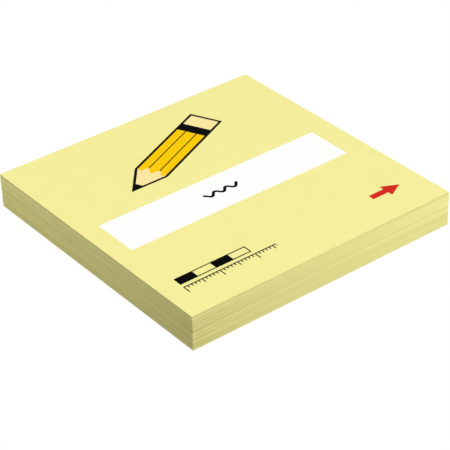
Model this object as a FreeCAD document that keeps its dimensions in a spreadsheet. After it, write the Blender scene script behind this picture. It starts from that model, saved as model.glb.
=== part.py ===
import FreeCAD, Part
import os

import Sketcher

# Pad of sticky notes: a cover sheet, a block of notes and a backing sheet, lying flat.
# X runs left to right as the cover is read, Y from the free edge to the gummed edge, and Z up.
# The origin is at the centre of the underside. Lengths are in millimetres, turns in degrees.

# Driving sizes: name, value, what it measures
SIZES = [
    ("sheet_width", 76.0, "side to side, every sheet alike because one knife cuts the whole pad"),
    ("sheet_length", 76.0, "free edge to gummed edge"),
    ("leaf_count", 100, "notes in the block"),
    ("leaf_thickness", 0.089, "one note of 70 gram paper"),
    ("cover_thickness", 0.089, "printed cover, of the same paper"),
    ("backing_thickness", 0.089, "sheet under the last note"),
    ("knife_roll", 0.02, "how far the knife rolls over the upper arris of each sheet"),
    ("gum_width", 15.0, "stripe of gum along the far edge of each sheet's underside"),
    ("gum_thickness", 0.015, "height of that stripe"),
    ("lift_shift", 0.05, "farthest a lift of notes slid sideways as it was gathered"),
    ("lift_turn", 0.1, "farthest a lift turned"),
]

# The notes are gathered in lifts, each a handful of leaves that moved as one.
# Each row: where the lift ends, as a share of all leaves from the bottom, then its slide along X
# and along Y as shares of lift_shift, and its turn as a share of lift_turn.
LIFTS = [
    (0.10, 0.4, 0.5, -0.6),
    (0.31, -0.6, -0.2, 0.3),
    (0.52, 0.3, 0.1, -0.5),
    (0.67, -0.4, -0.4, 0.5),
    (0.77, 0.5, 0.3, -0.2),
    (0.88, -0.2, -0.6, 0.4),
    (1.00, 0.1, 0.2, 0.1),
]

doc = FreeCAD.newDocument("note_pad")

sheet = doc.addObject("Spreadsheet::Sheet", "Sizes")
for row, (name, value, meaning) in enumerate(SIZES, start=1):
    sheet.set(f"A{row}", name)
    sheet.set(f"B{row}", str(value))
    sheet.set(f"C{row}", meaning)
    sheet.setAlias(f"B{row}", name)
doc.recompute()


def origin_feature(body, role):
    """The plane or axis of the body's own origin that has this role."""
    return next(part for part in body.Origin.OriginFeatures if part.Role == role)


def rectangle(body, name, width, depth, far_edge):
    """A rectangle on the body's XY plane, centred on the Y axis.

    width runs along X, depth along Y, and far_edge is how far the side at +Y lies from the X axis.
    """
    sketch = body.newObject("Sketcher::SketchObject", name)
    sketch.AttachmentSupport = [(origin_feature(body, "XY_Plane"), "")]
    sketch.MapMode = "FlatFace"
    corners = [
        FreeCAD.Vector(-30, -30, 0),
        FreeCAD.Vector(30, -30, 0),
        FreeCAD.Vector(30, 30, 0),
        FreeCAD.Vector(-30, 30, 0),
    ]
    for start in range(4):
        sketch.addGeometry(Part.LineSegment(corners[start], corners[(start + 1) % 4]), False)
    for side in range(4):
        sketch.addConstraint(Sketcher.Constraint("Coincident", side, 2, (side + 1) % 4, 1))
    sketch.addConstraint(Sketcher.Constraint("Vertical", 1))
    sketch.addConstraint(Sketcher.Constraint("Vertical", 3))
    sketch.addConstraint(Sketcher.Constraint("Horizontal", 2))
    sketch.addConstraint(Sketcher.Constraint("Symmetric", 0, 1, 0, 2, -2))
    sized = [
        ("width", Sketcher.Constraint("DistanceX", 0, 1, 0, 2, 60), width),
        ("depth", Sketcher.Constraint("DistanceY", 1, 1, 1, 2, 60), depth),
        ("far_edge", Sketcher.Constraint("DistanceY", -1, 1, 1, 2, 30), far_edge),
    ]
    for label, constraint, size in sized:
        index = sketch.addConstraint(constraint)
        sketch.renameConstraint(index, label)
        sketch.setExpression(f"Constraints.{label}", size)
    return sketch


def cut_sheet(name, thickness):
    """One sheet on its own XY plane, with the upper arris rolled over by the knife."""
    body = doc.addObject("PartDesign::Body", name)
    body.Label = name
    outline = rectangle(
        body, f"{name}_outline", "Sizes.sheet_width", "Sizes.sheet_length", "Sizes.sheet_length / 2"
    )
    paper = body.newObject("PartDesign::Pad", f"{name}_paper")
    paper.Profile = outline
    paper.setExpression("Length", thickness)
    doc.recompute()
    top = paper.Shape.BoundBox.ZMax
    arris = [
        f"Edge{number}"
        for number, edge in enumerate(paper.Shape.Edges, start=1)
        if abs(edge.BoundBox.ZMin - top) < 1e-6
    ]
    rolled = body.newObject("PartDesign::Chamfer", f"{name}_roll")
    rolled.Base = (paper, arris)
    rolled.setExpression("Size", "Sizes.knife_roll")
    body.Tip = rolled
    return body


def add_gum(body):
    """The stripe of gum under the sheet, along its far edge and as wide as the sheet."""
    name = body.Name
    stripe = rectangle(
        body, f"{name}_gum_outline", "Sizes.sheet_width", "Sizes.gum_width", "Sizes.sheet_length / 2"
    )
    gum = body.newObject("PartDesign::Pad", f"{name}_gum")
    gum.Profile = stripe
    gum.Reversed = True
    gum.setExpression("Length", "Sizes.gum_thickness")
    body.Tip = gum


def place(body, height, slide_x="0", slide_y="0", turn="0"):
    """Put the underside of the body's sheet at this height, slid and turned about the pad's centre."""
    body.setExpression(
        "Placement",
        f"placement(vector({slide_x}; {slide_y}; {height}); rotation(vector(0; 0; 1); {turn}))",
    )


# Heights at which the sheets lie: each sheet above the backing rests on its own stripe of gum
block_foot = "(Sizes.backing_thickness + Sizes.gum_thickness)"
block_top = f"({block_foot} + Sizes.leaf_count * Sizes.leaf_thickness)"
cover_foot = f"({block_top} + Sizes.gum_thickness)"

# Backing sheet, which keeps the gum of the last note clean
backing_sheet = cut_sheet("backing_sheet", "Sizes.backing_thickness")
place(backing_sheet, "0")

# Block of notes: within a lift the leaves are cut alike, so one leaf is repeated up the lift
lifts = []
first = "0"
for number, (share, slide_x, slide_y, turn) in enumerate(LIFTS, start=1):
    last = f"round(Sizes.leaf_count * {share})"
    lift = cut_sheet(f"lift_{number}", "Sizes.leaf_thickness")
    leaves = lift.newObject("PartDesign::LinearPattern", f"lift_{number}_leaves")
    leaves.Direction = (origin_feature(lift, "Z_Axis"), [""])
    leaves.Mode = "Spacing"
    leaves.TransformMode = "Whole shape"
    leaves.setExpression("Offset", "Sizes.leaf_thickness")
    leaves.setExpression("Occurrences", f"{last} - {first}")
    lift.Tip = leaves
    if number == 1:
        add_gum(lift)
    place(
        lift,
        f"{block_foot} + {first} * Sizes.leaf_thickness",
        f"{slide_x} * Sizes.lift_shift",
        f"{slide_y} * Sizes.lift_shift",
        f"{turn} * Sizes.lift_turn",
    )
    lifts.append(lift)
    first = last

note_block = doc.addObject("Part::MultiFuse", "note_block")
note_block.Label = "note_block"
note_block.Shapes = lifts

# Cover sheet, gummed to the top note like any other sheet
cover_sheet = cut_sheet("cover_sheet", "Sizes.cover_thickness")
add_gum(cover_sheet)
place(cover_sheet, cover_foot)

doc.recompute()

# Nothing is written unless every object computed and every piece is one sound solid
for item in doc.Objects:
    if "Invalid" in item.State or "Error" in item.State:
        raise RuntimeError(f"{item.Name} did not compute: {item.State}")

pieces = [cover_sheet, note_block, backing_sheet]
for piece in pieces:
    if piece.Shape.isNull() or not piece.Shape.isValid() or len(piece.Shape.Solids) != 1:
        raise RuntimeError(f"{piece.Label} is not one valid solid")

os.makedirs("parts", exist_ok=True)
for piece in pieces:
    piece.Shape.exportStep(f"parts/{piece.Label}.step")
    box = piece.Shape.BoundBox
    print(
        f"{piece.Label}: {box.XLength:.3f} x {box.YLength:.3f} x {box.ZLength:.3f} mm, "
        f"z {box.ZMin:.3f} to {box.ZMax:.3f}, volume {piece.Shape.Volume:.1f} mm3, "
        f"{len(piece.Shape.Faces)} faces"
    )
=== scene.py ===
# %% [markdown]
# # A pad of sticky notes
#
# The real thing is a printed cover sheet, a hundred notes and a backing sheet, gathered, gummed
# along one edge and cut square by a single stroke of a guillotine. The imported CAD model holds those
# pieces at their real size. This lesson loads it and dresses it: the cover gets its print, and the
# block of notes gets the fine ridged edge that a hundred cut leaves show.

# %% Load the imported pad
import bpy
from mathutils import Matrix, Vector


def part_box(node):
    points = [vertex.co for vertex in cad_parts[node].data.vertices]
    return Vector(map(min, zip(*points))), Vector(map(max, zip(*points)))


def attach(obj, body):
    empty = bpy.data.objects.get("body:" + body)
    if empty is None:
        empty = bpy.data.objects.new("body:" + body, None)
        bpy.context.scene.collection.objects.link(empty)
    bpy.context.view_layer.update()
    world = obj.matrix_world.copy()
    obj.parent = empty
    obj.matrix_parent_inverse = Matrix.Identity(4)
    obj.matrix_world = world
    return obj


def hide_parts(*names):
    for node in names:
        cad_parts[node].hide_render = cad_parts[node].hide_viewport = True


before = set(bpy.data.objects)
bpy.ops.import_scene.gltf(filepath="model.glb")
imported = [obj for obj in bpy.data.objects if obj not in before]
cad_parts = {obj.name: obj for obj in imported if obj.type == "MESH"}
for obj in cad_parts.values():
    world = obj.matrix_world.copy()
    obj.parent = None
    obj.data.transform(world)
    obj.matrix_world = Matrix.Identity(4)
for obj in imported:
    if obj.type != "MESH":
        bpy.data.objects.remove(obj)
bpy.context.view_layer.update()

# %% [markdown]
# Everything below is in metres, as Blender and the CAD frame are, but paper is easier to think of in
# millimetres, so lengths are written as a number times MM. X runs left to right as the cover is
# read, Y towards the gummed edge, and Z up. The places of the three pieces are read from the frame.

# %% Sizes from the frame
import math

import bpy
import numpy as np
from mathutils import Matrix

MM = 0.001

backing_low, backing_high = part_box("backing_sheet")
half_width = (backing_high[0] - backing_low[0]) / 2
half_length = (backing_high[1] - backing_low[1]) / 2
pad_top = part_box("cover_sheet")[1][2]
print("sheet", round(2 * half_width / MM, 3), "by", round(2 * half_length / MM, 3), "mm")
print("pad", round(pad_top / MM, 3), "mm high")

# %% [markdown]
# A material is a tree of nodes. One small function is enough to build any of them: it makes a node,
# sets its own options, and for each input either joins it to another node's output or gives it a
# plain value. Colours are written as the hex codes a printer would use, and turned from sRGB to the
# linear values that light is worked out in.

# %% Node and colour helpers
MATH = "ShaderNodeMath"
COLOUR_A, COLOUR_B, COLOUR_OUT = 6, 7, 2  # sockets of a Mix node that is set to mix colours


def linear(code):
    """The linear RGBA colour of an sRGB hex code such as F5EE9D."""
    channels = np.array([int(code[i : i + 2], 16) for i in (0, 2, 4)]) / 255
    curve = np.where(channels <= 0.04045, channels / 12.92, ((channels + 0.055) / 1.055) ** 2.4)
    return (*curve.tolist(), 1.0)


def add(tree, kind, inputs=(), **settings):
    """Adds a node with its settings, and joins or fills its inputs.

    inputs is a list in the order of the sockets, or names the sockets. A node among them stands for
    its first output.
    """
    node = tree.nodes.new(kind)
    for name, value in settings.items():
        setattr(node, name, value)
    if not isinstance(inputs, dict):
        inputs = dict(enumerate(inputs))
    for name, value in inputs.items():
        if isinstance(value, bpy.types.Node):
            value = value.outputs[0]
        if isinstance(value, bpy.types.NodeSocket):
            tree.links.new(value, node.inputs[name])
        else:
            node.inputs[name].default_value = value
    return node


def empty_material(name):
    """A new material with an empty tree."""
    material = bpy.data.materials.new(name)
    material.use_nodes = True
    material.node_tree.nodes.clear()
    return material


# %% [markdown]
# Every sheet of the pad is a solid with a square outline. It could be a cube with a bevel, but a
# cube has no place for a hundred grooves, so its surface is drawn by carrying a profile round the
# square. The profile is a row of rings. Each ring is the outline drawn in from the edge by some
# depth, at some height, and the first and last ring shrink to a point, which closes the solid. So
# one function makes the cover, the backing and the whole block of notes, and only the rings differ.
# The rings are worked out as whole arrays: one number for the ring and one for the place along the
# outline.

# %% Rings round a square outline
COLUMNS_PER_SIDE = 76  # one place along the edge for each millimetre

along = np.arange(4 * COLUMNS_PER_SIDE) / COLUMNS_PER_SIDE
side = along.astype(int)
share = along - side
corner_signs = np.array([(-1, -1), (1, -1), (1, 1), (-1, 1)])
outward = (1 - share)[:, None] * corner_signs[side] + share[:, None] * corner_signs[(side + 1) % 4]
print(len(along), "places along the outline")


def ring(corners, depth, height):
    """Points of a square outline drawn in by depth.

    A point is corner + share * (next corner - corner) - depth * outward, where outward goes evenly
    from one corner's signs to the next's, so the drawn-in outline is a smaller square. corners is
    (rings, 4, 2), and depth and height are (rings, columns) or (rings, 1). The result is
    (rings, columns, 3).
    """
    start = corners[:, side]
    end = corners[:, (side + 1) % 4]
    flat = start + share[None, :, None] * (end - start) - depth[..., None] * outward[None]
    height = np.broadcast_to(height, flat.shape[:2])
    return np.concatenate([flat, height[..., None]], axis=2)


# %% [markdown]
# Quads join each ring to the next, and triangles join the first and the last ring to their poles,
# like the ribs of an umbrella. The poles are the last two points of the mesh. Blender could bridge
# the rings pair by pair, but as arrays all the faces are made at once.

# %% Faces between the rings
def faces_of_rings(count, columns):
    """Corners of the faces: quads from the lowest ring up, the fan below and the fan above.

    Returns first the ring and the column at each corner of each quad. All are (faces, corners).
    """
    row, column = np.meshgrid(np.arange(count - 1), np.arange(columns), indexing="ij")
    ring_of = row.reshape(-1, 1) + [0, 0, 1, 1]
    column_of = column.reshape(-1, 1) + [0, 1, 1, 0]
    quads = ring_of * columns + column_of % columns
    first = np.arange(columns)
    second = (first + 1) % columns
    low_pole = np.full(columns, count * columns)
    low_fan = np.stack([low_pole, second, first], axis=1)
    last_ring = (count - 1) * columns
    high_fan = np.stack([last_ring + first, last_ring + second, low_pole + 1], axis=1)
    return ring_of, column_of, quads, low_fan, high_fan


def mesh_of_faces(name, points, quads, triangles):
    """A flat-shaded mesh from (points, 3), (quads, 4) and (triangles, 3), in that order."""
    corners = np.concatenate([quads.reshape(-1), triangles.reshape(-1)])
    sizes = np.repeat([4, 3], [len(quads), len(triangles)])
    mesh = bpy.data.meshes.new(name)
    mesh.vertices.add(len(points))
    mesh.vertices.foreach_set("co", points.reshape(-1))
    mesh.loops.add(len(corners))
    mesh.loops.foreach_set("vertex_index", corners)
    mesh.polygons.add(len(sizes))
    mesh.polygons.foreach_set("loop_start", np.cumsum(sizes) - sizes)
    mesh.polygons.foreach_set("use_smooth", np.zeros(len(sizes), dtype=bool))
    mesh.update(calc_edges=True)
    return mesh


# %% [markdown]
# When the pad is exported, its patterns are painted into a square picture, so each piece brings a
# map that says where its surface lies in that picture. Blender can work out such a map by itself,
# but it would cut the ridged edge into scraps. A solid of rings unrolls with hardly any stretch: its
# underside and its top are squares, and its edge is four strips, one for each side. A layout gives
# most of the picture to the part of the piece that is seen.

# %% Layouts of the map
# Left, foot and size of the underside's square and of the top's, then foot and height of the first
# strip, all as shares of the picture.
EDGE_LAYOUT = ((0.005, 0.905, 0.09), (0.105, 0.905, 0.09), (0.005, 0.222))
TOP_LAYOUT = ((0.935, 0.005, 0.06), (0.005, 0.005, 0.92), (0.935, 0.015))
UNDER_LAYOUT = ((0.005, 0.005, 0.92), (0.935, 0.005, 0.06), (0.935, 0.015))
STRIP_FILLED = 0.97  # the rest is a margin between strips
STRIP_LEFT, STRIP_LENGTH = 0.005, 0.99


def laid_flat(x, y, square):
    """Places in a square: left or foot + size * (x or y / the sheet's width + 1/2)."""
    left, foot, size = square
    across = np.stack([x, y], axis=1) / (2 * half_width) + 0.5
    return np.array([left, foot]) + size * across


def unrolled(ring_of, column_of, share_up, strips):
    """Places in the strips: across by the share of the side, up by the share of the edge's height."""
    foot, height = strips
    strip = column_of.min(axis=1, keepdims=True) // COLUMNS_PER_SIDE
    across = column_of / COLUMNS_PER_SIDE - strip
    up = strip + STRIP_FILLED * share_up[ring_of]
    return np.stack([STRIP_LEFT + STRIP_LENGTH * across, foot + height * up], axis=2)


# %% [markdown]
# One function now puts a piece together from its rings. The underside is mapped as it is seen from
# below, which is why its x runs the other way.

# %% Solid from a row of rings
def solid_of_rings(name, rings, poles, edge, layout):
    """A closed piece with a map for painting.

    rings is (rings, columns, 3), listed from the underside up, poles is the lowest and the highest
    point, edge is the first and the last ring of the piece's edge, and layout is one of those above.
    """
    columns = rings.shape[1]
    points = np.concatenate([rings.reshape(-1, 3), np.asarray(poles)])
    ring_of, column_of, quads, low_fan, high_fan = faces_of_rings(len(rings), columns)
    mesh = mesh_of_faces(name, points, quads, np.concatenate([low_fan, high_fan]))

    first, last = edge
    underside, top, strips = layout
    height = rings[:, :, 2].mean(axis=1)
    share_up = (height - height[first]) / (height[last] - height[first])
    from_below = laid_flat(-points[:, 0], points[:, 1], underside)
    from_above = laid_flat(points[:, 0], points[:, 1], top)
    sides = slice(first * columns, last * columns)
    places = [
        from_below[quads[: sides.start]],
        unrolled(ring_of[sides], column_of[sides], share_up, strips),
        from_above[quads[sides.stop :]],
        from_below[low_fan],
        from_above[high_fan],
    ]
    places = np.concatenate([part.reshape(-1, 2) for part in places])
    mesh.uv_layers.new(name="OFBake").data.foreach_set("uv", places.reshape(-1))

    piece = bpy.data.objects.new(name, mesh)
    bpy.context.collection.objects.link(piece)
    faces = len(mesh.polygons)
    print(name, "has", len(points), "points and", faces, "faces; repaired:", mesh.validate())
    return piece


# %% [markdown]
# The block of notes is what someone who knows such a pad would look at: the cut edge. The knife
# leaves each leaf with its upper arris rolled over, so two neighbours meet in a fine groove. The
# leaves were gathered in lifts that slid and turned a little, so groups of leaves stand proud or
# shy, most of all towards the corners. The lifts could be made up again here, but the CAD block
# already has them, so the corners of each leaf are read from its mesh. The heights where the mesh
# has points are the foot of the gum, then the foot and the arris of each leaf in turn, and at last
# the top of the highest leaf. Of the points at a leaf's arris, the four outermost are its corners.

# %% Read the leaves from the CAD block
LEVEL_DIGITS = 7  # heights are told apart to a tenth of a thousandth of a millimetre
SAME_LEVEL = 0.001 * MM

block_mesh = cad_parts["note_block"].data
block_points = np.empty(3 * len(block_mesh.vertices))
block_mesh.vertices.foreach_get("co", block_points)
block_points = block_points.reshape(-1, 3)
levels = np.unique(np.round(block_points[:, 2], LEVEL_DIGITS))

gum_foot = levels[0]
leaf_foot = levels[1:-1:2]
leaf_arris = levels[2::2]
leaf_top = levels[3::2]
leaf_count = len(leaf_arris)
leaf_thickness = leaf_top[0] - leaf_foot[0]
leaf_corners = np.empty((leaf_count, 4, 2))
for leaf, level in enumerate(leaf_arris):
    at_level = block_points[np.abs(block_points[:, 2] - level) < SAME_LEVEL, :2]
    outermost = np.argmax(at_level @ corner_signs.T, axis=0)
    leaf_corners[leaf] = at_level[outermost]
print(leaf_count, "leaves,", round(leaf_thickness / MM, 4), "mm each")

# %% [markdown]
# Some more things give the edge its look. They could be a bump in the material, but then the edge
# would be dead straight against the light, so they are shape. Where two lifts meet, friction drags
# the next leaves along, so the ledge between the lifts is spread over several leaves. Each leaf is
# nudged by a few thousandths of a millimetre, and its cut edge wanders by as much. They are drawn
# from a seeded generator, so that the pad comes out the same each time.

# %% Drag and nudge the leaves
SEED = 76
DRAG_SPREAD, DRAG_REACH = 4, 11  # in leaves
NUDGE = 0.004 * MM
PROUDEST = 0.06 * MM  # the farthest that a corner may stand out past a true sheet's
WANDER = 0.002 * MM
WANDER_SPREAD = 4  # in places along the edge

shake = np.random.default_rng(SEED)


def bell(spread, reach):
    """Weights e ** (-(step / spread) ** 2 / 2) for each step from -reach to reach."""
    return np.exp(-0.5 * (np.arange(-reach, reach + 1) / spread) ** 2)


def smooth_noise(rows, columns, spread):
    """Random numbers averaged over a bell of about spread rows, brought back to a spread of 1."""
    weights = bell(spread, 3 * spread)
    margin = len(weights)
    rough = shake.standard_normal((rows + 2 * margin, columns))
    soft = np.apply_along_axis(lambda line: np.convolve(line, weights, mode="same"), 0, rough)
    soft = soft[margin : margin + rows]
    return soft / soft.std()


drag = bell(DRAG_SPREAD, DRAG_REACH)
drag /= drag.sum()
padded = np.pad(leaf_corners, ((DRAG_REACH, DRAG_REACH), (0, 0), (0, 0)), mode="edge")
dragged = sum(part * padded[start : start + leaf_count] for start, part in enumerate(drag))
nudged = dragged + shake.normal(0, NUDGE, leaf_corners.shape)
nudged = np.clip(np.abs(nudged), None, half_width + PROUDEST) * corner_signs
wander = smooth_noise(4 * COLUMNS_PER_SIDE, leaf_count, WANDER_SPREAD).T
wander = wander * WANDER * np.sin(np.pi * share)
print("leaves moved by up to", round(np.abs(nudged - leaf_corners).max() / MM, 3), "mm")

# %% [markdown]
# The groove between two leaves is a little deeper where they have parted, which happens near the
# corners and fades along the side. And at some heights a whole handful of leaves has parted from the
# next: there the groove is deep, and the leaves next to it stand back. Those partings are what the
# eye takes for the lines of the pad's edge, so they are listed. Each row of the list is one parting:
# its height as a share of the block, and how far the leaves part at the front left, front right,
# back right and back left corner, where 1 is the widest.

# %% Partings between handfuls of leaves
PARTINGS = np.array(
    [
        (0.08, 0.5, 0.0, 0.0, 0.0),
        (0.10, 0.0, 0.3, 0.0, 0.2),
        (0.15, 0.5, 0.0, 0.6, 0.0),
        (0.18, 0.0, 0.2, 0.0, 0.1),
        (0.29, 1.0, 0.0, 0.0, 0.0),
        (0.31, 0.0, 0.0, 0.0, 0.7),
        (0.33, 0.0, 0.4, 0.0, 0.0),
        (0.41, 0.3, 0.0, 0.0, 0.0),
        (0.45, 0.0, 0.0, 0.9, 0.0),
        (0.51, 1.0, 0.0, 0.0, 0.0),
        (0.56, 0.0, 0.0, 0.0, 0.2),
        (0.57, 0.5, 0.3, 0.0, 0.0),
        (0.67, 0.4, 0.0, 0.7, 0.0),
        (0.76, 0.4, 0.0, 0.0, 0.0),
        (0.84, 0.0, 0.0, 0.5, 0.0),
        (0.87, 1.0, 0.0, 0.0, 0.0),
        (0.93, 0.0, 0.2, 0.0, 0.3),
        (0.95, 0.4, 0.0, 0.0, 0.0),
    ]
)
GROOVE = 0.018 * MM  # depth between any two leaves
LOOSE = 0.03 * MM  # added by chance near the corners
LOOSE_SPREAD = 2  # in leaves
PARTED = 0.4 * MM  # added at the widest parting
STAND_BACK = 0.04 * MM  # of the leaves beside the widest parting
SECOND_LEAF = 0.5  # the share of it by which the second leaf from the parting stands back
FADE_LENGTH = 22 * MM

fade = np.exp(-share * 2 * half_width / FADE_LENGTH)
fade_on = np.exp(-(1 - share) * 2 * half_width / FADE_LENGTH)


def fading(at_corners):
    """Numbers at the four corners, spread along the sides and dying away from each corner."""
    return at_corners[:, side] * fade + at_corners[:, (side + 1) % 4] * fade_on


opened = np.zeros((leaf_count + 1, 4))
opened[np.round(PARTINGS[:, 0] * leaf_count).astype(int)] = PARTINGS[:, 1:]
loose = np.clip(smooth_noise(leaf_count + 1, 4, LOOSE_SPREAD), 0, None) * LOOSE
groove = GROOVE + fading(loose + opened * PARTED)
touching = opened[1:] + opened[:-1]
beyond = np.zeros_like(touching)
beyond[1:] += touching[:-1]
beyond[:-1] += touching[1:]
beside_parting = fading(np.clip(touching + SECOND_LEAF * beyond, 0, 1))
print(len(PARTINGS), "partings, grooves up to", round(groove.max() / MM, 2), "mm deep")

# %% [markdown]
# The rings of the block are then three for each leaf: the root of the groove under it, its lower
# arris and the start of the rolled upper arris. A root takes the smaller of the two outlines that
# meet there, so it always lies inside both.

# %% Model the block of notes
LOWER_ARRIS = 0.008 * MM  # height of the slope from the groove's root to the leaf's lower arris

root_corners = np.minimum(np.abs(nudged[1:]), np.abs(nudged[:-1])) * corner_signs
root_corners = np.concatenate([nudged[:1], root_corners, nudged[-1:]])
root_height = np.append(leaf_foot, leaf_top[-1])[:, None]
stand_back = beside_parting * STAND_BACK - wander
edge_rings = np.empty((3 * leaf_count + 1, 4 * COLUMNS_PER_SIDE, 3))
edge_rings[0::3] = ring(root_corners, groove, root_height)
edge_rings[1::3] = ring(nudged, stand_back, leaf_foot[:, None] + LOWER_ARRIS)
edge_rings[2::3] = ring(nudged, stand_back, leaf_arris[:, None])
block_poles = [(0, 0, leaf_foot[0]), (0, 0, leaf_top[-1])]
note_stack = solid_of_rings(
    "note_stack", edge_rings, block_poles, (0, 3 * leaf_count), EDGE_LAYOUT
)

# %% [markdown]
# The cover and the backing are single sheets with the same rolled arris. Paper is never perfectly
# flat, so the cover's upper side rises and falls by about a hundredth of a millimetre in soft
# hollows a centimetre or two across. That is too little to see as a shape, but it keeps the sheen
# from being dead even. A noise could do it too, but crossing waves never rise past a known height,
# so the cover stays within the CAD sheet.

# %% Model the cover and the backing
ARRIS = 0.02 * MM
RINGS_ACROSS = 24
INNERMOST, OUTERMOST = 0.96, 0.04  # depths of those rings, as shares of half the sheet
HOLLOW = 0.012 * MM
WAVE_X, WAVE_Y, WAVE_SLANTING = 13 * MM, 17 * MM, 23 * MM
START_X, START_SLANTING = 0.7, 1.9  # radians, so that the waves don't all start in the middle


def cockle(x, y):
    """Height of the paper's hollows, from -HOLLOW to HOLLOW.

    It is HOLLOW / 2 * (sine along X * sine along Y + sine along the slant), and the slant is X + Y.
    """
    waves = np.sin(x / WAVE_X * 2 * np.pi + START_X) * np.sin(y / WAVE_Y * 2 * np.pi)
    return 0.5 * HOLLOW * (waves + np.sin((x + y) / WAVE_SLANTING * 2 * np.pi + START_SLANTING))


def sheet_of_paper(name, low_z, high_z, hollows, layout):
    """A square sheet: rings from the middle of its underside out to the edge, up and back in.

    hollows is how much of the cockle its upper side has, from 0 to 1.
    """
    inward = np.linspace(INNERMOST, OUTERMOST, RINGS_ACROSS)[:, None] * min(half_width, half_length)
    outer = np.zeros((1, 1))
    depth = np.concatenate([inward, outer, outer, outer + ARRIS, inward[::-1]])
    height = np.concatenate(
        [
            np.full((RINGS_ACROSS + 1, 1), low_z),
            [[high_z - ARRIS], [high_z]],
            np.full((RINGS_ACROSS, 1), high_z),
        ]
    )
    corners = np.broadcast_to(corner_signs * (half_width, half_length), (len(depth), 4, 2))
    rings = ring(corners, depth, height)
    upper = slice(RINGS_ACROSS + 3, None)
    rings[upper, :, 2] += hollows * cockle(rings[upper, :, 0], rings[upper, :, 1])
    poles = [(0, 0, low_z), (0, 0, high_z + hollows * float(cockle(0.0, 0.0)))]
    return solid_of_rings(name, rings, poles, (RINGS_ACROSS, RINGS_ACROSS + 2), layout)


cover_foot = pad_top - leaf_thickness
printed_cover = sheet_of_paper("printed_cover", cover_foot, pad_top - HOLLOW, 1.0, TOP_LAYOUT)
backing_paper = sheet_of_paper(
    "backing_paper", backing_low[2], backing_high[2], 0.0, UNDER_LAYOUT
)

# %% [markdown]
# Every sheet above the backing is held by a stripe of gum under its far edge. Inside the block the
# stripes are pressed flush, but the one under the cover and the one under the lowest note can be
# seen from behind as a hair of shine. They are as wide as the sheet, so they are cut by the knife
# too. A flat bar of two rings is all that so thin a stripe needs.

# %% Model the two stripes of gum that show
GUM_WIDTH = 15 * MM
GUM_INSET = 0.01 * MM  # the knife leaves the soft gum just behind the paper


def gum_stripe(name, low_z, high_z):
    """A flat bar along the far edge: two rings and a pole above and below."""
    corners = corner_signs * (half_width, half_length)
    corners[corner_signs[:, 1] < 0, 1] = half_length - GUM_WIDTH
    both = np.broadcast_to(corners, (2, 4, 2))
    rings = ring(both, np.full((2, 1), GUM_INSET), np.array([[low_z], [high_z]]))
    middle = half_length - GUM_WIDTH / 2
    poles = [(0, middle, low_z), (0, middle, high_z)]
    return solid_of_rings(name, rings, poles, (0, 1), TOP_LAYOUT)


cover_gum = gum_stripe("cover_gum", leaf_top[-1], cover_foot)
block_gum = gum_stripe("block_gum", gum_foot, leaf_foot[0])

# %% [markdown]
# The notes are uncoated woodfree paper of 70 grams for each square metre, dyed pale yellow in the
# pulp and made on a wire. To the eye that is a soft matt surface with no gloss: fibres lie every
# way and scatter the light, and where the pulp settled unevenly there are faint clouds a few
# millimetres across. A picture of paper could be laid over it, but patterns that are worked out from
# the size of clouds and fibres stay sharp at any distance. A fibre is some 0.03 mm thick and 1 mm
# long, which is too fine for the render, so the fibre pattern is drawn ten times as coarse.

# %% Yellow note paper
CANARY = linear("F6EF9E")
CANARY_DEEP = linear("F3EC9A")
PAPER_IOR = 1.5
PAPER_GLOSS = 0.01
PAPER_ROUGHNESS = 0.85
CLOUD = 4 * MM
CLOUD_DETAIL = 3.0
FIBRE = 0.3 * MM
FIBRE_DETAIL = 2.0
FIBRE_CURL = 1.2
FIBRE_SHARE = 0.4  # of the tone; the clouds have the rest
NOISE_LOW, NOISE_HIGH = 0.35, 0.65  # most of the noise lies between these
RELIEF_STRENGTH = 0.35
RELIEF_HEIGHT = 0.01 * MM


def paper_tone(tree):
    """Colour and fibre height of dyed paper: clouds and fibres mix two close tones."""
    place = add(tree, "ShaderNodeTexCoord").outputs["Object"]
    clouds = add(
        tree, "ShaderNodeTexNoise", {"Vector": place, "Scale": 1 / CLOUD, "Detail": CLOUD_DETAIL}
    )
    fibres = add(
        tree,
        "ShaderNodeTexNoise",
        {"Vector": place, "Scale": 1 / FIBRE, "Detail": FIBRE_DETAIL, "Distortion": FIBRE_CURL},
    )
    both = add(
        tree,
        "ShaderNodeMix",
        {"Factor": FIBRE_SHARE, "A": clouds.outputs["Fac"], "B": fibres.outputs["Fac"]},
    )
    amount = add(
        tree,
        "ShaderNodeMapRange",
        {"Value": both.outputs["Result"], "From Min": NOISE_LOW, "From Max": NOISE_HIGH},
    )
    tone = add(
        tree,
        "ShaderNodeMix",
        {"Factor": amount, COLOUR_A: CANARY, COLOUR_B: CANARY_DEEP},
        data_type="RGBA",
    )
    return tone.outputs[COLOUR_OUT], fibres.outputs["Fac"]


def finish_paper(material, colour, fibres, roughness):
    """The matt paper surface that carries this colour, with the fibres as a fine relief."""
    tree = material.node_tree
    relief = add(
        tree,
        "ShaderNodeBump",
        {"Strength": RELIEF_STRENGTH, "Distance": RELIEF_HEIGHT, "Height": fibres},
    )
    surface = add(
        tree,
        "ShaderNodeBsdfPrincipled",
        {
            "Base Color": colour,
            "Roughness": roughness,
            "IOR": PAPER_IOR,
            "Specular IOR Level": PAPER_GLOSS,
            "Normal": relief.outputs["Normal"],
        },
    )
    add(tree, "ShaderNodeOutputMaterial", {"Surface": surface})
    print(material.name, "has", len(tree.nodes), "nodes")


plain_paper = empty_material("woodfree_paper_dyed_canary")
colour, fibres = paper_tone(plain_paper.node_tree)
finish_paper(plain_paper, colour, fibres, PAPER_ROUGHNESS)

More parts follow.
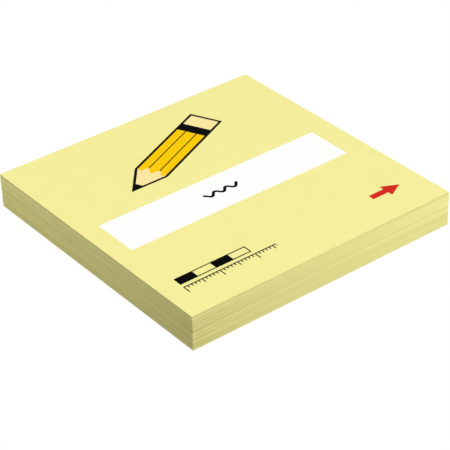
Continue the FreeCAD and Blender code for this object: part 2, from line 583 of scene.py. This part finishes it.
# %% [markdown]
# The cut edge of the block shows the ends of a hundred leaves. Each leaf takes the light a little
# differently, and neighbours are alike, so faint bands run along the side. Near a parting the
# leaves stand back, and their tone is painted darker as the shade in the gap. The front left corner,
# where the leaves are loosest, gets painted shade too: fully up to half the height, and less and
# less from there to the cover. Stripes drawn in the material would know nothing of the partings, so
# the tone and the painted shade are a number for each point, stored on the mesh, and the material
# mixes it into the same paper.

# %% Tone of the leaves, with painted shade
BASE_TONE = 0.14
LEAF_TONE, LEAF_TONE_SPREAD = 0.05, 2  # spreads in leaves
END_TONE, END_TONE_SPREAD = 0.09, 1
# painted shade in the gaps beside the partings
PARTING_SHADE = 0.7
# painted shade towards the front left corner
CORNER_SHADE = 0.2
SHADED_CORNER = np.array([1.0, 0.0, 0.0, 0.0])  # front left, of the four corners
POLE_TONE = 0.5  # doesn't show, because sheets cover both poles

leaf_tone_and_shade = BASE_TONE + LEAF_TONE * smooth_noise(leaf_count, 1, LEAF_TONE_SPREAD)
leaf_tone_and_shade = leaf_tone_and_shade + END_TONE * fading(smooth_noise(leaf_count, 4, END_TONE_SPREAD))
# painted shade: the leaves beside a parting are darkened to stand for the shade in its gap
leaf_tone_and_shade += PARTING_SHADE * beside_parting
below_cover = np.clip(2 * (1 - np.arange(leaf_count) / leaf_count), 0, 1)
# painted shade towards the front left corner, full up to half the height and fading to the cover
leaf_tone_and_shade += CORNER_SHADE * fading(below_cover[:, None] * SHADED_CORNER)
ring_tone_and_shade = np.concatenate([np.repeat(leaf_tone_and_shade, 3, axis=0), leaf_tone_and_shade[-1:]])
point_tone_and_shade = np.append(ring_tone_and_shade.reshape(-1), [POLE_TONE, POLE_TONE])
tones = note_stack.data.attributes.new("leaf_tone_and_shade", "FLOAT", "POINT")
tones.data.foreach_set("value", point_tone_and_shade)
print("tones from", round(leaf_tone_and_shade.min(), 2), "to", round(leaf_tone_and_shade.max(), 2))

# %% [markdown]
# The ends of cut fibres are a little rougher than the face of the sheet, and the tone runs from
# paler than the sheet, at 0, to a deep olive yellow, at 1; its deep end also paints the shade of the
# partings and of the front left corner. The mix node cuts off what lies past them.

# %% Cut edge of the notes
EDGE_PALE = linear("F9F3A8")
EDGE_DEEP = linear("C4BB70")
EDGE_TINT = 0.7  # how much of the tone is laid over the paper's own colour
EDGE_ROUGHNESS = 0.9

cut_edge = empty_material("woodfree_paper_cut_edge")
tree = cut_edge.node_tree
colour, fibres = paper_tone(tree)
# the leaves' own tone together with the painted shade
leaf = add(tree, "ShaderNodeAttribute", attribute_name="leaf_tone_and_shade")
tint = add(
    tree,
    "ShaderNodeMix",
    {"Factor": leaf.outputs["Fac"], COLOUR_A: EDGE_PALE, COLOUR_B: EDGE_DEEP},
    data_type="RGBA",
)
mixed = add(
    tree,
    "ShaderNodeMix",
    {"Factor": EDGE_TINT, COLOUR_A: colour, COLOUR_B: tint.outputs[COLOUR_OUT]},
    data_type="RGBA",
)
finish_paper(cut_edge, mixed.outputs[COLOUR_OUT], fibres, EDGE_ROUGHNESS)

# %% [markdown]
# The gum is a repositionable acrylic: tiny clear beads in a thin film. It looks like a satin,
# slightly milky varnish with the yellow of the paper showing through it. A clear layer over paper
# would be truer, but in so thin a film a milky yellow surface looks the same.

# %% Gum
BEAD = 0.2 * MM  # really a few hundredths of a millimetre, which is too fine for the render
GUM_PALE = linear("F4EDA6")
GUM_DEEP = linear("ECE398")
GUM_ROUGHNESS = 0.4
GUM_IOR = 1.47

gum = empty_material("acrylic_bead_gum")
tree = gum.node_tree
place = add(tree, "ShaderNodeTexCoord").outputs["Object"]
beads = add(tree, "ShaderNodeTexVoronoi", {"Vector": place, "Scale": 1 / BEAD})
milk = add(
    tree,
    "ShaderNodeMix",
    {"Factor": beads.outputs["Distance"], COLOUR_A: GUM_PALE, COLOUR_B: GUM_DEEP},
    data_type="RGBA",
)
film = add(
    tree,
    "ShaderNodeBsdfPrincipled",
    {"Base Color": milk.outputs[COLOUR_OUT], "Roughness": GUM_ROUGHNESS, "IOR": GUM_IOR},
)
add(tree, "ShaderNodeOutputMaterial", {"Surface": film})
print(gum.name, "has", len(tree.nodes), "nodes")

# %% [markdown]
# The cover is the same paper, printed by offset lithography in flat inks: a white field across the
# middle, a large drawing of a pencil above it, a stroke of handwriting in the field, a short scale
# at the lower left and an arrow at the lower right. An image would be the usual way, but shapes that
# are worked out in the material stay sharp however near the camera comes. Each is a depth: how many
# millimetres a point lies inside the shape, below zero outside it. Where two shapes overlap, the
# smaller depth is what they share, and the larger depth is both together. Ink creeps a little along
# the fibres, so the position is first shaken by about a hundredth of a millimetre.

# %% Shapes of the print
PRINT_SHAKE = 0.05  # millimetres, as are all lengths of the print; the noise takes a part of it
CREEP_SIZE = 0.2
INK_SOFTNESS = 0.05


def print_position(tree):
    """Place on the sheet in millimetres, shaken by the creep of the ink."""
    place = add(tree, "ShaderNodeTexCoord").outputs["Object"]
    scaled = add(tree, "ShaderNodeVectorMath", {0: place, "Scale": 1 / MM}, operation="SCALE")
    creep = add(tree, "ShaderNodeTexNoise", {"Vector": scaled, "Scale": 1 / CREEP_SIZE})
    centred = add(
        tree,
        "ShaderNodeVectorMath",
        {0: creep.outputs["Color"], 1: (0.5, 0.5, 0.5)},
        operation="SUBTRACT",
    )
    shaken = add(
        tree,
        "ShaderNodeVectorMath",
        {0: centred, 1: (PRINT_SHAKE,) * 3, 2: scaled},
        operation="MULTIPLY_ADD",
    )
    return shaken.outputs[0]


def motif_axes(tree, position, x, y, turn=0.0):
    """Distances along and across a motif whose origin is at x, y, turned by an angle in degrees."""
    moved = add(
        tree,
        "ShaderNodeMapping",
        {"Vector": position, "Location": (x, y, 0), "Rotation": (0, 0, math.radians(turn))},
        vector_type="TEXTURE",
    )
    axes = add(tree, "ShaderNodeSeparateXYZ", [moved])
    return axes.outputs["X"], axes.outputs["Y"]


def bar(tree, x, y, left, right, low, high):
    """Depth inside a bar: the least of x - left, right - x, y - low and high - y."""
    depth = add(tree, MATH, [x, left], operation="SUBTRACT")
    for more, less in ((right, x), (y, low), (high, y)):
        limit = add(tree, MATH, [more, less], operation="SUBTRACT")
        depth = add(tree, MATH, [depth, limit], operation="MINIMUM")
    return depth


def wedge(tree, x, y, length, half):
    """Depth inside the slanting sides of a point that starts at x = 0 and reaches half at length.

    It is (x * half - |y| * length) / the length of a slanting side.
    """
    slant = math.hypot(length, half)
    aside = add(tree, MATH, [y], operation="ABSOLUTE")
    narrowed = add(tree, MATH, [aside, length / slant], operation="MULTIPLY")
    widened = add(tree, MATH, [x, half / slant], operation="MULTIPLY")
    return add(tree, MATH, [widened, narrowed], operation="SUBTRACT")


# %% [markdown]
# The pencil lies across the upper part of the cover. Its own axis runs from the tip, at zero, to
# the end of the rubber. Each part is a stretch of that axis inside the pencil's outline: lead,
# wood, lacquered body, ferrule and rubber. Where the lacquer starts, a sharpened hexagonal pencil
# has scallops, which a cosine across the body gives.

# %% Print of the pencil
PENCIL_TIP = (-18.6, 10.6)
PENCIL_TURN = 25.0
PENCIL_LENGTH = 38.5
PENCIL_HALF = 4.5
BEFORE_TIP = -1.0  # the straight sides start here, and the cone cuts them to the tip
CONE_LENGTH = 9.5
LEAD_END = 3.6
LACQUER_START = 10.2
FERRULE_START = 30.3
RUBBER_START = 33.4
SCALLOP = 0.9
FACET = 3.0
OUTLINE = 0.7
FACET_LINE = 0.32


def pencil(tree, position):
    """Depths inside the whole pencil, its lacquered body and all its black parts."""
    x, y = motif_axes(tree, position, *PENCIL_TIP, PENCIL_TURN)
    shaft = bar(tree, x, y, BEFORE_TIP, PENCIL_LENGTH, -PENCIL_HALF, PENCIL_HALF)
    cone = wedge(tree, x, y, CONE_LENGTH, PENCIL_HALF)
    whole = add(tree, MATH, [shaft, cone], operation="MINIMUM")

    angle = add(tree, MATH, [y, 2 * math.pi / FACET], operation="MULTIPLY")
    wave = add(tree, MATH, [angle], operation="COSINE")
    scalloped = add(tree, MATH, [wave, SCALLOP, x], operation="MULTIPLY_ADD")
    lacquer = add(tree, MATH, [scalloped, LACQUER_START], operation="SUBTRACT")
    before_ferrule = add(tree, MATH, [FERRULE_START, x], operation="SUBTRACT")
    lacquer = add(tree, MATH, [lacquer, before_ferrule], operation="MINIMUM")
    body = add(tree, MATH, [whole, lacquer], operation="MINIMUM")

    shifted = add(tree, MATH, [y, FACET / 2], operation="ADD")
    from_ridge = add(tree, MATH, [shifted, FACET / 2], operation="PINGPONG")
    ridges = add(tree, MATH, [FACET_LINE / 2, from_ridge], operation="SUBTRACT")
    ridges = add(tree, MATH, [ridges, lacquer], operation="MINIMUM")
    lead = add(tree, MATH, [LEAD_END, x], operation="SUBTRACT")
    ferrule = bar(tree, x, y, FERRULE_START, RUBBER_START, -PENCIL_HALF, PENCIL_HALF)
    black = add(tree, MATH, [OUTLINE, whole], operation="SUBTRACT")
    for part in (ridges, lead, ferrule):
        black = add(tree, MATH, [black, part], operation="MAXIMUM")
    black = add(tree, MATH, [black, whole], operation="MINIMUM")
    return whole, body, black


# %% [markdown]
# The stroke of handwriting is a cosine wave. The height above or below the wave, divided by the
# wave's slant, is about the distance from it, and the depth is half the pen's width less that
# distance, so the pen keeps its width on the slopes.

# %% Print of the stroke
STROKE_START = -7.0
STROKE_LENGTH = 10.2  # three waves, from crest to crest
STROKE_LINE = -2.6
STROKE_WIDTH = 0.8
STROKE_REACH = 2.0  # more than the wave and the pen need on each side of the line
WAVE_HEIGHT = 0.65
WAVE_LENGTH = 3.4


def pen_stroke(tree, position):
    """Depth inside a wavy line: half its width less |y - wave| / the wave's slant."""
    x, y = motif_axes(tree, position, STROKE_START, STROKE_LINE)
    turns = 2 * math.pi / WAVE_LENGTH
    angle = add(tree, MATH, [x, turns], operation="MULTIPLY")
    wave = add(tree, MATH, [angle], operation="COSINE")
    above = add(tree, MATH, [wave, -WAVE_HEIGHT, y], operation="MULTIPLY_ADD")
    away = add(tree, MATH, [above], operation="ABSOLUTE")
    sine = add(tree, MATH, [angle], operation="SINE")
    slope = add(tree, MATH, [sine, WAVE_HEIGHT * turns], operation="MULTIPLY")
    squared = add(tree, MATH, [slope, slope, 1.0], operation="MULTIPLY_ADD")
    slant = add(tree, MATH, [squared], operation="SQRT")
    distance = add(tree, MATH, [away, slant], operation="DIVIDE")
    line = add(tree, MATH, [STROKE_WIDTH / 2, distance], operation="SUBTRACT")
    reach = bar(tree, x, y, 0, STROKE_LENGTH, -STROKE_REACH, STROKE_REACH)
    return add(tree, MATH, [line, reach], operation="MINIMUM")


# %% [markdown]
# The scale repeats blocks and ticks by folding the distance along it at each multiple of their
# spacing, so four blocks and twenty-seven ticks take no more nodes than one of each. The arrow's
# axis runs back from its tip, as the pencil's does.

# %% Prints of the scale and the arrow
SCALE_LEFT = -32.7
BLOCKS_LENGTH = 20.0
BLOCK = 5.0
BLOCKS_LOW = -27.1
BLOCKS_HIGH = -24.4
TICKS_START = -0.2  # takes in the whole width of the first tick
TICKS_LENGTH = 26.0
TICKS_TOP = -28.1
TICK_WIDTH = 0.32
RULE_WIDTH = 0.35
TICKS = ((1.0, 1.0), (5.0, 1.6), (10.0, 2.3))  # spacing and length

ARROW_TIP = (31.5, -28.0)
ARROW_TURN = 180.0
ARROW_LENGTH = 9.0
HEAD_LENGTH = 4.4
HEAD_HALF = 2.3
SHAFT_HALF = 0.9
SHAFT_OVERLAP = 0.1


def scale_bar(tree, position):
    """Depth inside the blocks, rule and ticks of a short scale."""
    x, y = motif_axes(tree, position, SCALE_LEFT, 0)
    blocks = bar(tree, x, y, 0, BLOCKS_LENGTH, BLOCKS_LOW, BLOCKS_HIGH)
    shifted = add(tree, MATH, [x, BLOCK / 2], operation="SUBTRACT")
    folded = add(tree, MATH, [shifted, BLOCK], operation="PINGPONG")
    filled = add(tree, MATH, [BLOCK / 2, folded], operation="SUBTRACT")
    frame_line = add(tree, MATH, [RULE_WIDTH, blocks], operation="SUBTRACT")
    drawn = add(tree, MATH, [filled, frame_line], operation="MAXIMUM")
    drawn = add(tree, MATH, [drawn, blocks], operation="MINIMUM")
    rule = bar(tree, x, y, 0, TICKS_LENGTH, TICKS_TOP - RULE_WIDTH, TICKS_TOP)
    drawn = add(tree, MATH, [drawn, rule], operation="MAXIMUM")
    for spacing, length in TICKS:
        aside = add(tree, MATH, [x, spacing / 2], operation="PINGPONG")
        thin = add(tree, MATH, [TICK_WIDTH / 2, aside], operation="SUBTRACT")
        reach = bar(tree, x, y, TICKS_START, TICKS_LENGTH, TICKS_TOP - length, TICKS_TOP)
        tick = add(tree, MATH, [thin, reach], operation="MINIMUM")
        drawn = add(tree, MATH, [drawn, tick], operation="MAXIMUM")
    return drawn


def arrow(tree, position):
    """Depth inside a solid arrow that points to the right."""
    x, y = motif_axes(tree, position, *ARROW_TIP, ARROW_TURN)
    sides = wedge(tree, x, y, HEAD_LENGTH, HEAD_HALF)
    base = add(tree, MATH, [HEAD_LENGTH, x], operation="SUBTRACT")
    head = add(tree, MATH, [sides, base], operation="MINIMUM")
    shaft_start = HEAD_LENGTH - SHAFT_OVERLAP
    shaft = bar(tree, x, y, shaft_start, ARROW_LENGTH, -SHAFT_HALF, SHAFT_HALF)
    return add(tree, MATH, [head, shaft], operation="MAXIMUM")


# %% [markdown]
# The inks go on in the printer's order, white first and black last, each as a mix that turns on
# where its depth passes zero. Ink fills the pores of the paper, so an inked place is a little
# smoother than the bare paper.

# %% Printed cover
FIELD_LEFT, FIELD_RIGHT = -32.9, 31.6
FIELD_LOW, FIELD_HIGH = -9.2, 3.9
WHITE_INK = linear("FDFDFC")
PEACH_INK = linear("FBE7A3")
AMBER_INK = linear("FACB0C")
RED_INK = linear("D32C21")
BLACK_INK = linear("050505")
INK_ROUGHNESS = 0.6

printed_paper = empty_material("offset_print_on_woodfree_paper")
tree = printed_paper.node_tree
colour, fibres = paper_tone(tree)
position = print_position(tree)
sheet_x, sheet_y = motif_axes(tree, position, 0, 0)
field = bar(tree, sheet_x, sheet_y, FIELD_LEFT, FIELD_RIGHT, FIELD_LOW, FIELD_HIGH)
pencil_whole, pencil_body, black = pencil(tree, position)
for drawn in (pen_stroke(tree, position), scale_bar(tree, position)):
    black = add(tree, MATH, [black, drawn], operation="MAXIMUM")
prints = [
    (field, WHITE_INK),
    (pencil_whole, PEACH_INK),
    (pencil_body, AMBER_INK),
    (arrow(tree, position), RED_INK),
    (black, BLACK_INK),
]
inked = 0.0
for depth, ink in prints:
    laid = add(
        tree,
        "ShaderNodeMapRange",
        {"Value": depth, "From Min": -INK_SOFTNESS, "From Max": INK_SOFTNESS},
    )
    mixed = add(
        tree, "ShaderNodeMix", {"Factor": laid, COLOUR_A: colour, COLOUR_B: ink}, data_type="RGBA"
    )
    colour = mixed.outputs[COLOUR_OUT]
    inked = add(tree, MATH, [inked, laid], operation="MAXIMUM")
roughness = add(
    tree,
    "ShaderNodeMapRange",
    {"Value": inked, "To Min": PAPER_ROUGHNESS, "To Max": INK_ROUGHNESS},
)
finish_paper(printed_paper, colour, fibres, roughness)

# %% [markdown]
# Each piece takes its material, rides on the pad and takes the place of the CAD piece that it
# dresses.

# %% Dress the pad
dressing = [
    (printed_cover, printed_paper, "cover_paper", "cover_sheet"),
    (cover_gum, gum, "cover_paper", "cover_sheet"),
    (note_stack, cut_edge, "note_paper", "note_block"),
    (block_gum, gum, "note_paper", "note_block"),
    (backing_paper, plain_paper, "backing_paper", "backing_sheet"),
]
for piece, material, slot, node in dressing:
    piece.data.materials.append(material)
    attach(piece, "root")
    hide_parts(node)
    print(piece.name, "of", material.name, "stands for", node)

# %% [markdown]
# The floor is one large plane. A white table would throw too much light up the sides of the pad, so
# to the object the floor is mid-grey. To the camera it is white paper, mostly self-lit so that the
# ground comes out white, and the rest takes the pad's soft shadow.

# %% Floor
FLOOR_HALF = 3.0
FLOOR_DROP = 0.005 * MM  # keeps the floor from meeting the underside
FLOOR_GREY = 0.4
SELF_LIT = 0.92
WHITE = (1.0, 1.0, 1.0, 1.0)


def seen_as_background(tree):
    """1 for a ray from the camera, or one that gloss or glass sends on, and 0 for other light."""
    rays = add(tree, "ShaderNodeLightPath")
    seen = rays.outputs["Is Camera Ray"]
    for other in ("Is Glossy Ray", "Is Transmission Ray"):
        seen = add(tree, MATH, [seen, rays.outputs[other]], operation="MAXIMUM")
    return seen


floor_mesh = bpy.data.meshes.new("floor")
floor_corners = [(x * FLOOR_HALF, y * FLOOR_HALF, -FLOOR_DROP) for x, y in corner_signs.tolist()]
floor_mesh.from_pydata(floor_corners, [], [(0, 1, 2, 3)])
floor = bpy.data.objects.new("floor", floor_mesh)
bpy.context.collection.objects.link(floor)

studio_table = empty_material("studio_table")
tree = studio_table.node_tree
grey = add(tree, "ShaderNodeBsdfDiffuse", {"Color": (FLOOR_GREY, FLOOR_GREY, FLOOR_GREY, 1)})
white = add(tree, "ShaderNodeBsdfDiffuse", {"Color": WHITE})
lit = add(tree, "ShaderNodeEmission", {"Color": WHITE, "Strength": 1.0})
ground = add(tree, "ShaderNodeMixShader", [SELF_LIT, white, lit])
shown = add(tree, "ShaderNodeMixShader", [seen_as_background(tree), grey, ground])
add(tree, "ShaderNodeOutputMaterial", {"Surface": shown})
floor_mesh.materials.append(studio_table)
print("floor", 2 * FLOOR_HALF, "m square")

# %% [markdown]
# The light is a plain product set: a large soft box overhead, a smaller one low at the front right
# and a weak one low at the back left. The low boxes stand near, so the front of the pad brightens
# towards its right end and the left side towards its back end. The world is white to the camera and
# gives only a little light of its own.

# %% Lights and world
AMBIENT = 0.12


def direction(azimuth, elevation):
    """Unit vector away from the pad, from two angles in degrees.

    It is (sin azimuth * cos elevation, -cos azimuth * cos elevation, sin elevation), so azimuth 0
    is in front of the pad and 90 at its right.
    """
    turn, rise = math.radians(azimuth), math.radians(elevation)
    return np.array(
        [math.sin(turn) * math.cos(rise), -math.cos(turn) * math.cos(rise), math.sin(rise)]
    )


def soft_box(name, azimuth, elevation, distance, size, power):
    """A square lamp that faces the pad, with its distance and side in metres and power in watts."""
    lamp = bpy.data.lights.new(name, "AREA")
    lamp.shape = "SQUARE"
    lamp.size = size
    lamp.energy = power
    holder = bpy.data.objects.new(name, lamp)
    holder.location = direction(azimuth, elevation) * distance
    holder.rotation_euler = (math.radians(90.0 - elevation), 0, math.radians(azimuth))
    bpy.context.collection.objects.link(holder)
    print(name, "of", power, "W at", distance, "m")


soft_box("overhead_box", azimuth=-50.0, elevation=84.0, distance=1.0, size=0.5, power=8.75)
soft_box("right_box", azimuth=40.0, elevation=5.0, distance=0.43, size=0.07, power=1.15)
soft_box("left_box", azimuth=-135.0, elevation=6.0, distance=0.31, size=0.06, power=0.208)

world = bpy.data.worlds.new("studio")
bpy.context.scene.world = world
world.use_nodes = True
tree = world.node_tree
tree.nodes.clear()
strength = add(tree, MATH, [seen_as_background(tree), AMBIENT], operation="MAXIMUM")
sky = add(tree, "ShaderNodeBackground", {"Color": WHITE, "Strength": strength})
add(tree, "ShaderNodeOutputWorld", {"Surface": sky})

# %% [markdown]
# The camera stands where the photograph was taken from. Its place was found by fitting the seven
# corners of the pad that the photograph shows, with the pad at its real size: it looks down from
# the front left with a long lens and is rolled by under two degrees. It could track the pad with a
# constraint, but a roll and a small step aside are easier to give as plain axes.

# %% Camera
AZIMUTH, ELEVATION, ROLL = -37.325, 33.428, -1.851  # degrees
DISTANCE = 434.0 * MM
ASIDE, ABOVE = 0.62 * MM, -2.418 * MM  # steps along the picture's own axes
LENS, SENSOR = 144.44, 36.0  # millimetres
CLIP_START, CLIP_END = 0.01, 20.0  # metres

camera_data = bpy.data.cameras.new("camera")
camera_data.lens = LENS
camera_data.sensor_width = SENSOR
camera_data.clip_start = CLIP_START
camera_data.clip_end = CLIP_END
camera = bpy.data.objects.new("camera", camera_data)
bpy.context.collection.objects.link(camera)
bpy.context.scene.camera = camera

back = direction(AZIMUTH, ELEVATION)
level_right = np.cross((0, 0, 1), back)
level_right /= np.linalg.norm(level_right)
level_up = np.cross(back, level_right)
tilt = math.radians(ROLL)
right = math.cos(tilt) * level_right + math.sin(tilt) * level_up
up = -math.sin(tilt) * level_right + math.cos(tilt) * level_up
camera.rotation_euler = Matrix(np.stack([right, up, back], axis=1).tolist()).to_euler()
camera.location = back * DISTANCE + right * ASIDE + up * ABOVE
print("camera at", [round(value / MM, 1) for value in camera.location], "mm")

# %% [markdown]
# The view transform is set to Standard, so that a colour comes out as it was written.

# %% Finish
bpy.context.scene.view_settings.view_transform = "Standard"
